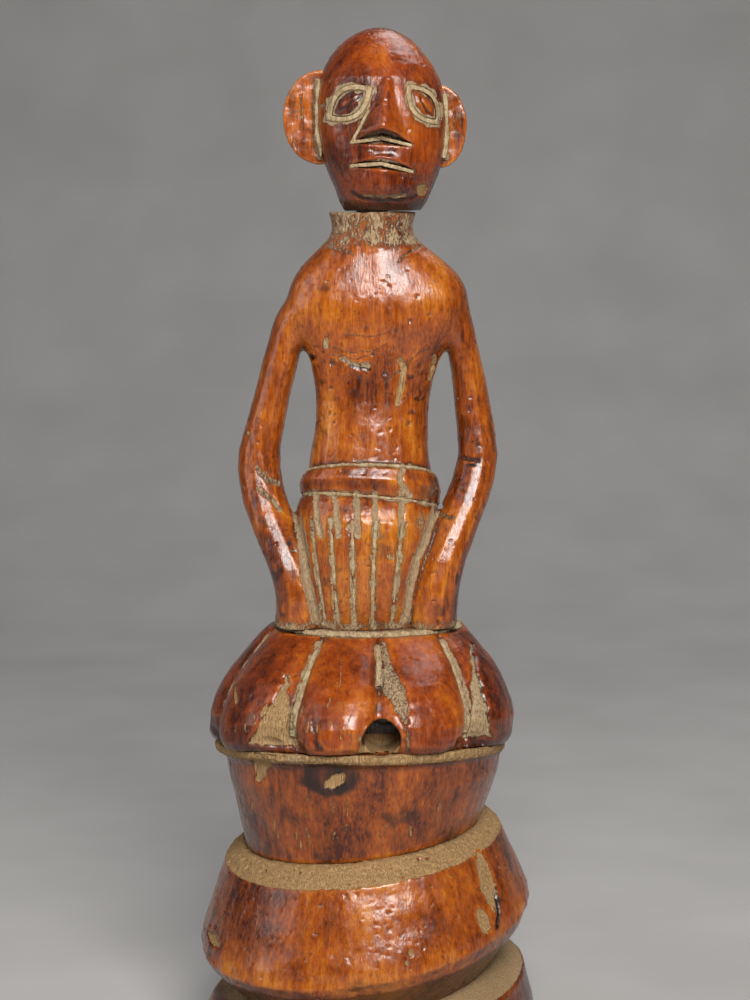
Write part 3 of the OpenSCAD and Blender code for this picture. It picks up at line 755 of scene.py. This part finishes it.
def carve_arms(s):
    """Nicks on the forearms, and the darker arms and hands."""
    cut(s, [(-27.4, 148.6), (-24.6, 145.6), (-21.8, 144.6)], 1.2, 0.5, clay=0.62)
    cut(s, [(-27.0, 143.6), (-24.2, 141.6), (-21.8, 138.6)], 1.1, 0.6, clay=0.66)
    cut(s, [(23.6, 151.0), (27.8, 150.4)], 0.8, 0.4, dark=1.0)
    cut(s, [(24.4, 149.4), (26.6, 149.6)], 0.6, 0.3, dark=1.0)
    cut(s, [(18.2, 137.4), (20.8, 136.8)], 0.9, 0.4, clay=0.5, dark=0.6)
    chip(s, -29.8, 157.0, 0.7, 0.8, 0, 0.15, raw=0.8)
    x, _, z = s.co.T
    hands = ramp(np.abs(x), 15, 20) * ramp(-z, -140, -132)
    s.paint("red_and_side_shade", hands)
    grime(s, 4.5, 59, 0.2, 0.6, 1.0, hands)
    s.paint("red_and_side_shade", 0.75 * ramp(np.abs(x), 19, 24))


def build_torso():
    s = Sculpt(mesh_of("torso", 0.42))
    s.smooth(6)
    shoulder = ramp(s.co[:, 2], 174, 180) * ramp(-s.co[:, 2], -205, -199)
    s.smooth(70, 0.5, 0.0, shoulder)
    by_spindle = (radial(s) < SPINDLE_CLEAR) & (s.co[:, 2] < 135)
    by_neck_dowel = (radial(s, *NECK_AXIS) < NECK_DOWEL_CLEAR) & (s.co[:, 2] > 197)
    bore = by_spindle | by_neck_dowel
    before = s.co.copy()
    tool_marks(s, 0.12, 6.5, 51, (1, 1, 1.4))
    s.push(0.16 * fbm(s.co, 8, 52, (1, 1, 1.5), 2) + 0.05 * fbm(s.co, 2.2, 63))
    s.co[bore] = before[bore]
    s.update()
    body = ramp(19 - np.abs(s.co[:, 0]), 0, 2)
    carve_neck(s)
    carve_chest(s, body)
    s.update()
    carve_skirt(s)
    carve_arms(s)
    grime(s, 5, 60)
    s.paint("red_and_side_shade", 0.5 * ramp(spot(s, 4, 170, 14, 12), 0.1, 0.5))
    scatter(s, 36, 64, (-16, 12, 112, 142), 3.0, 0.35, 0.12, 0.45, 6)
    # The pleat lines run on up to the belt
    for a, b in ((-11.7, -13.0), (-7.0, -8.0), (-2.3, -2.9), (1.9, 1.7), (8.0, 8.2)):
        cut(s, [(a, 133.5), ((a + b) / 2, 138), (b, 143.5)], 1.3, 0.5, clay=0.9, taper=False)
    near_clay(s, ["skirt_clay", "waistband_clay"], 0.5, 65)
    s.paint("clay", 0.62 * ramp(s.co[:, 2], 113.2, 110.6) * (0.9 + 0.6 * noise(s.co, 3, 66)))
    crevice_masks(s, 0.55, 0.8)
    place(s, "torso_wood", "torso", "body", WOOD)


def below_arc(s, arc, line):
    """1 between an arc and the straight line under it, in the front view."""
    x, z = s.co[:, 0], s.co[:, 2]
    top = np.interp(x, [p[0] for p in arc], [p[1] for p in arc])
    low = np.interp(x, [p[0] for p in line], [p[1] for p in line])
    wide = ramp(x, arc[0][0] - 0.3, arc[0][0] + 0.6) * ramp(-x, -arc[-1][0] - 0.3, -arc[-1][0] + 0.6)
    return ramp(top - z, -0.2, 0.5) * ramp(z - low, -0.3, 0.2) * wide * ramp(-s.co[:, 1], 5, 8)


def carve_eyes(s, front_half):
    """Each eye: a shallow socket with a raised lid inside the clay line."""
    for ex, ez, rx, rz, turn in ((-4.6, 237.2, 9.0, 6.0, 34), (13.5, 237.0, 8.4, 5.4, -50)):
        s.push(-0.55 * spot(s, ex, ez, rx, rz, turn) * front_half)
        s.push(0.9 * spot(s, ex, ez, rx * 0.52, rz * 0.42, turn) * front_half)
        s.update()
    cut(s, [(-7.0, 235.4), (-4.4, 237.0), (-2.2, 238.9)], 0.5, 0.3, dark=0.9)
    cut(s, [(12.6, 238.6), (13.4, 236.8), (14.8, 234.8)], 0.5, 0.3, dark=0.9)
    chip(s, -2.4, 239.8, 0.9, 0.7, 0, 0.1, raw=0.0, clay=0.9)


def carve_mouth(s):
    """The underside of the nose, and the parted lips."""
    nose_arc = [(-2.4, 228.4), (0.4, 230.2), (3.4, 231.0), (7, 230.0), (10.6, 227.6)]
    nostril = below_arc(s, nose_arc, [(-3.9, 228.0), (10.6, 227.2)])
    s.push(-0.9 * nostril)
    s.paint("clay", 0.5 * nostril)
    # Painted shade on the underside of the nose.
    s.paint("dark", 0.35 * nostril)
    lip_arc = [(-4, 222.6), (0, 223.8), (3.2, 224.5), (7, 223.6), (10.6, 221.4)]
    lips = below_arc(s, lip_arc, [(-4, 222.4), (10.6, 221.0)])
    s.push(-0.8 * lips)
    s.paint("clay", 0.62 * lips)
    # Painted shade in the recess under the upper lip.
    s.paint("dark", 0.4 * lips)
    chip(s, 7.4, 228.6, 1.3, 0.7, -20, 0.3, raw=0.0, dark=0.9)


def build_head():
    s = Sculpt(mesh_of("head", 0.3))
    s.smooth(10)
    bore = (radial(s, *NECK_AXIS) < NECK_DOWEL_CLEAR) & (s.co[:, 2] < 226)
    before = s.co.copy()
    tool_marks(s, 0.10, 5.5, 61)
    s.push(0.12 * fbm(s.co, 7, 62, octaves=2) + 0.04 * fbm(s.co, 1.8, 73))
    s.co[bore] = before[bore]
    s.update()
    carve_eyes(s, ramp(-s.co[:, 1], 4, 8))
    carve_mouth(s)
    cut(s, [(-0.6, 215.3), (4, 215.0), (8.9, 215.4)], 0.8, 0.3, clay=0.75)
    # A groove under the chin, painted dark as the chin's shadow.
    cut(s, [(-3.6, 216.0), (-0.6, 214.4), (9.4, 214.2), (12.0, 215.6)], 0.9, 0.5, dark=0.9)
    chip(s, 13.4, 216.8, 2.0, 2.2, -30, 0.5)
    chip(s, -11.4, 222.6, 1.2, 1.8, 0, 0.25, raw=0.5, clay=0.6)
    cut(s, [(-12.4, 236.4), (-10.6, 237.0)], 0.8, 0.2, clay=0.7)
    scatter(s, 46, 67, (-9, 16, 240, 253), 3.0, 0.3, 0.1, 0.35, 10)
    scatter(s, 20, 68, (-12, 17, 218, 236), 2.2, 0.3, 0.1, 0.4, 25)
    s.update()
    near_clay(s, ["eye_clay_right", "eye_clay_left"], 1.0, 69)
    near_clay(s, ["nose_clay", "mouth_clay"], 0.28, 70)
    near_clay(s, ["ear_seam_clay"], 0.5, 71)
    # Painted shade on the underside of the head, darker towards its bottom.
    s.paint("dark", 0.9 * ramp(s.co[:, 2], 215.5, 212.5))
    grime(s, 5, 72)
    s.paint("red_and_side_shade", 0.35 + 0.6 * ramp(s.co[:, 2], 240, 224))
    crevice_masks(s, 0.6, 0.8, 10)
    place(s, "head_wood", "head", "head", RED_WOOD)


def build_ear(node, seed, marks):
    s = Sculpt(mesh_of(node, 0.3))
    s.smooth(16, 0.5, -0.40)
    s.push(0.16 * fbm(s.co, 4, seed))
    s.update()
    for line in marks:
        cut(s, line, 0.5, 0.3, clay=0.5)
    scatter(s, 14, seed + 1, (-22, 26, 226, 244), 2.2, 0.35, 0.12, 0.6, 12)
    near_clay(s, ["ear_seam_clay"], 0.5, seed + 2)
    s.paint("red_and_side_shade", np.full(len(s.co), 0.6))
    grime(s, 3, seed + 3, 0.3, 0.8)
    crevice_masks(s, 0.2, 0.5)
    place(s, node + "_wood", node, "head", WOOD)


def build_clay(node, body, voxel, lump, sink, seed, centre=(0, 0)):
    """A lumpy filling, sunk by up to sink mm towards an axis where it has worn away."""
    s = Sculpt(mesh_of(node, voxel))
    s.smooth(3)
    out = s.co[:, :2] - centre
    out = np.column_stack([out / np.linalg.norm(out, axis=1)[:, None], np.zeros(len(out))])
    s.push(lump * fbm(s.co, 1.0, seed))
    gone = 0.35 + ramp(noise(s.co, 4.0, seed + 5, (1, 1, 1.8)), 0.0, 0.45)
    s.co -= out * (gone * sink)[:, None]
    if node == "seat_clay":
        s.update()
        seat_wedges(s)
    place(s, node + "_fill", node, body, CLAY)


build_foot()
build_ring()
build_bowl()
build_seat()
build_torso()
build_head()
build_ear("ear_right", 74, ([(-16.4, 240), (-16.0, 236), (-16.6, 231)], [(-18, 229), (-17.4, 226.5)]))
build_ear("ear_left", 77, ([(21.0, 236), (21.2, 231)],))
FACE_CLAY = ("eye_clay_right", "eye_clay_left", "nose_clay", "mouth_clay", "ear_seam_clay")
for seed, node in enumerate(FACE_CLAY, 82):
    build_clay(node, "head", 0.22, 0.1, 0.22, seed, (4, 0))
for node, seed in (("waistband_clay", 87), ("skirt_clay", 88), ("seat_clay", 90)):
    build_clay(node, "body", 0.26, 0.12, 0.28, seed)
build_clay("hip_clay", "body", 0.26, 0.25, -0.45, 89)

# The dowels keep their CAD mesh
for node in ("spindle", "neck_dowel"):
    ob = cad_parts[node]
    ob.data.materials.clear()
    ob.data.materials.append(PLAIN_WOOD)


# ---- Stage, light and camera ---------------------------------------------

def studio():
    """A pale floor that sweeps up into a backdrop."""
    near, far, half_width, height = -1.4, 0.5, 2.2, 2.2
    bend = 0.5
    turns = np.linspace(0.1, math.pi / 2, 14)
    profile = [(near, 0.0), (far, 0.0)]
    profile += [(far + bend * math.sin(t), bend - bend * math.cos(t)) for t in turns]
    profile += [(far + bend, height)]
    verts, faces = [], []
    for y, z in profile:
        verts += [(-half_width, y, z), (half_width, y, z)]
    for i in range(len(profile) - 1):
        faces.append((2 * i, 2 * i + 1, 2 * i + 3, 2 * i + 2))
    me = bpy.data.meshes.new("floor")
    me.from_pydata(verts, [], faces)
    me.shade_smooth()
    ob = bpy.data.objects.new("floor", me)
    bpy.context.scene.collection.objects.link(ob)
    g = Graph("floor")
    tone = g.noise((60, 60, 60), 2.0)
    colour = g.colours(tone, [(0.3, (0.42, 0.41, 0.40)), (0.7, (0.47, 0.46, 0.45))])
    ob.data.materials.append(g.output(Base_Color=colour, Roughness=0.9))


def area_light(name, spot_at, target, size, power, colour=(1, 1, 1)):
    """A rectangular lamp that looks at a point, with its power in watts."""
    data = bpy.data.lights.new(name, "AREA")
    data.shape = "RECTANGLE"
    data.size, data.size_y = size
    data.energy = power
    data.color = colour
    ob = bpy.data.objects.new(name, data)
    bpy.context.scene.collection.objects.link(ob)
    ob.location = spot_at
    ob.rotation_euler = (Vector(target) - Vector(spot_at)).to_track_quat("-Z", "Y").to_euler()


def lights():
    area_light("key", (0.11, -0.60, 0.50), (0, 0, 0.14), (0.34, 0.30), 6.5, (1, 0.98, 0.95))
    area_light("side", (-0.75, -0.25, 0.45), (0, 0, 0.12), (0.25, 0.7), 1.6)
    area_light("top", (0.25, 0.35, 0.95), (0, 0, 0.12), (0.5, 0.5), 3.0)
    world = bpy.data.worlds.new("world")
    world.use_nodes = True
    sky = world.node_tree.nodes["Background"]
    sky.inputs["Color"].default_value = (0.9, 0.93, 1.0, 1)
    sky.inputs["Strength"].default_value = 0.06
    bpy.context.scene.world = world
    bpy.context.scene.view_settings.view_transform = "Standard"


def camera():
    """A camera a little over two heights away, looking slightly down, as in the photograph."""
    tilt = math.radians(7.2)
    distance = 0.5725
    aim_x, aim_z = 0.00175, 0.140
    data = bpy.data.cameras.new("camera")
    data.sensor_width = 36
    data.lens = data.sensor_width * 2.29
    data.clip_start = 0.01
    ob = bpy.data.objects.new("camera", data)
    bpy.context.scene.collection.objects.link(ob)
    ob.location = (aim_x, -distance * math.cos(tilt), aim_z + distance * math.sin(tilt))
    ob.rotation_euler = (math.pi / 2 - tilt, 0, 0)
    bpy.context.scene.camera = ob


studio()
lights()
camera()
